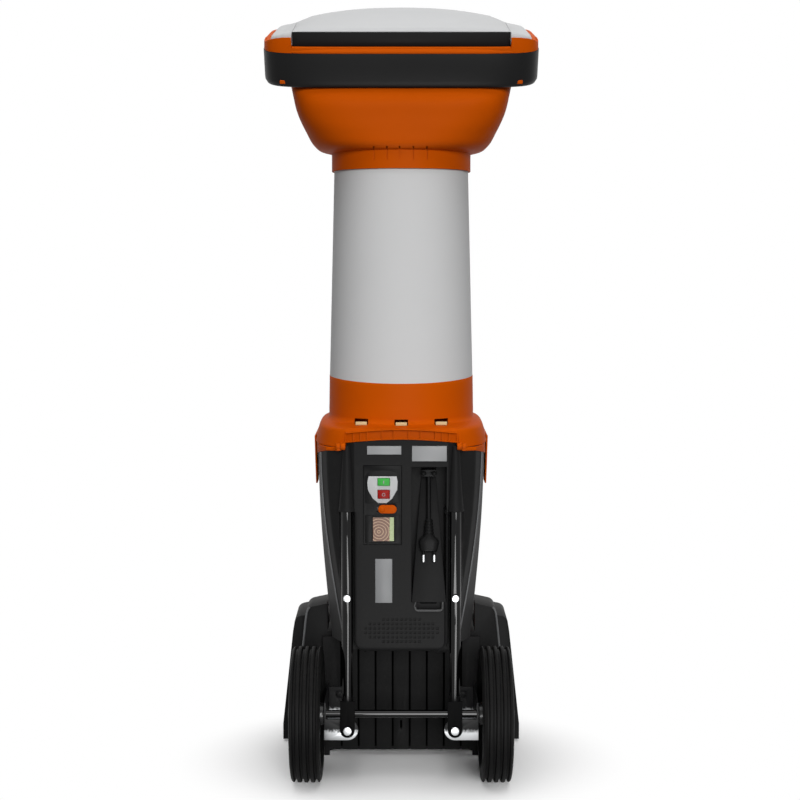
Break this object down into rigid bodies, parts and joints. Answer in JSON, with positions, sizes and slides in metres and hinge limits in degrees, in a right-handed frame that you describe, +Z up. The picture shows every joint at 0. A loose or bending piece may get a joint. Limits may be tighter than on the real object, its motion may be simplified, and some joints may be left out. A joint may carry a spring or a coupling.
{
  "type": "garden shredder",
  "caption": "Wheeled electric garden shredder with a tall feed hopper under a hinged lid, a spinning cutter disc, a discharge chute and a rear control panel.",
  "frame": {"origin": "middle of the bounding box on the floor", "axes": "+Z up, +Y away from the operator towards the discharge chute, +X to the operator's right"},
  "size_m": [0.495, 0.59, 1.3927],
  "materials": {
    "black_shell_plastic": "fine grain, semi-matt",
    "hopper_black_plastic": "fine grain, semi-matt",
    "pale_grey_plastic": "fine grain, satin",
    "orange_plastic": "fine grain, satin",
    "grey_hood_plastic": "fine grain, matt",
    "panel_black_plastic": "smooth, satin",
    "inner_grey_plastic": "moulded",
    "tyre_rubber": "ribbed tread",
    "wheel_plastic": "moulded",
    "soft_rubber": "matt",
    "black_painted_tube": "gloss black",
    "galvanised_steel": "zinc plated",
    "cutter_steel": "ground",
    "motor_paint": "satin",
    "winding_brown": "varnished laminations and windings",
    "light_grey_plastic": "printed film, left bare",
    "cream_plastic": "moulded",
    "window_print": null,
    "green_plastic": "moulded",
    "red_plastic": "moulded"
  },
  "bodies": {
    "base": {"base_chassis": "black_shell_plastic", "left_fender": "black_shell_plastic", "right_fender": "black_shell_plastic", "foot_pads": "soft_rubber", "rear_housing": "black_shell_plastic", "front_shell": "orange_plastic", "cutter_deck": "inner_grey_plastic", "cutter_chamber": "inner_grey_plastic", "counter_blade": "cutter_steel", "discharge_chute": "black_shell_plastic", "motor_can": "motor_paint", "motor_end_cap": "cutter_steel", "motor_stator": "winding_brown", "shaft_bearings": "cutter_steel", "run_capacitor": "light_grey_plastic", "switch_box": "inner_grey_plastic", "control_panel": "panel_black_plastic", "switch_plate": "grey_hood_plastic", "material_window": "window_print", "label_plates": "light_grey_plastic", "cord_gland": "panel_black_plastic", "supply_cord": "panel_black_plastic", "plug_body": "panel_black_plastic", "plug_pins": "galvanised_steel", "cord_ramp": "black_shell_plastic", "cable_loop": "black_shell_plastic", "left_wheel_tube": "black_painted_tube", "right_wheel_tube": "black_painted_tube", "tube_screws": "galvanised_steel", "left_axle_bracket": "galvanised_steel", "right_axle_bracket": "galvanised_steel", "bracket_bolts": "galvanised_steel", "axle": "black_painted_tube", "axle_caps": "wheel_plastic", "hopper_hinge_pins": "galvanised_steel", "interlock_switch": "inner_grey_plastic"},
    "left_wheel": {"left_tyre": "tyre_rubber", "left_hub": "wheel_plastic"},
    "right_wheel": {"right_tyre": "tyre_rubber", "right_hub": "wheel_plastic"},
    "cutter": {"motor_shaft": "cutter_steel", "rotor_core": "cutter_steel", "cooling_fan": "inner_grey_plastic", "cutter_disc": "cutter_steel", "disc_blades": "cutter_steel", "blade_bolt": "cutter_steel"},
    "hopper": {"hopper_collar": "orange_plastic", "collar_tabs": "cream_plastic", "hopper_tube": "pale_grey_plastic", "hopper_bowl": "orange_plastic", "rim_band": "hopper_black_plastic", "splash_guard": "soft_rubber", "hood_frame": "grey_hood_plastic", "lid_hinge_pins": "galvanised_steel"},
    "lid": {"feed_lid": "grey_hood_plastic", "lid_lip": "hopper_black_plastic"},
    "knob": {"lock_knob": "panel_black_plastic"},
    "start": {"start_button": "green_plastic"},
    "stop": {"stop_button": "red_plastic"},
    "direction": {"direction_lever": "orange_plastic"}
  },
  "joints": [
    {"name": "left_wheel_spin", "type": "hinge", "parent": "base", "child": "left_wheel", "pos_m": [-0.168, -0.175, 0.12], "axis": [1, 0, 0], "continuous": true},
    {"name": "right_wheel_spin", "type": "hinge", "parent": "base", "child": "right_wheel", "pos_m": [0.168, -0.175, 0.12], "axis": [1, 0, 0], "continuous": true},
    {"name": "cutter_spin", "type": "hinge", "parent": "base", "child": "cutter", "pos_m": [0, 0, 0.5], "axis": [0, 0, 1], "continuous": true},
    {"name": "hopper_tilt", "type": "hinge", "parent": "base", "child": "hopper", "pos_m": [0, -0.194, 0.604], "axis": [1, 0, 0], "range_deg": [0, 90]},
    {"name": "feed_lid_hinge", "type": "hinge", "parent": "hopper", "child": "lid", "pos_m": [0, 0.08702, 1.38871], "axis": [-1, 0, 0], "range_deg": [0, 100]},
    {"name": "lock_knob_turn", "type": "hinge", "parent": "hopper", "child": "knob", "pos_m": [0, 0.181, 0.65], "axis": [0, 0, 1], "range_deg": [0, 720]},
    {"name": "start_press", "type": "slide", "parent": "base", "child": "start", "axis": [0, 1, 0], "range_m": [0, 0.003], "stiffness_N_per_m": 400},
    {"name": "stop_press", "type": "slide", "parent": "base", "child": "stop", "axis": [0, 1, 0], "range_m": [0, 0.003], "stiffness_N_per_m": 400},
    {"name": "direction_slide", "type": "slide", "parent": "base", "child": "direction", "axis": [1, 0, 0], "range_m": [-0.012, 0]}
  ]
}
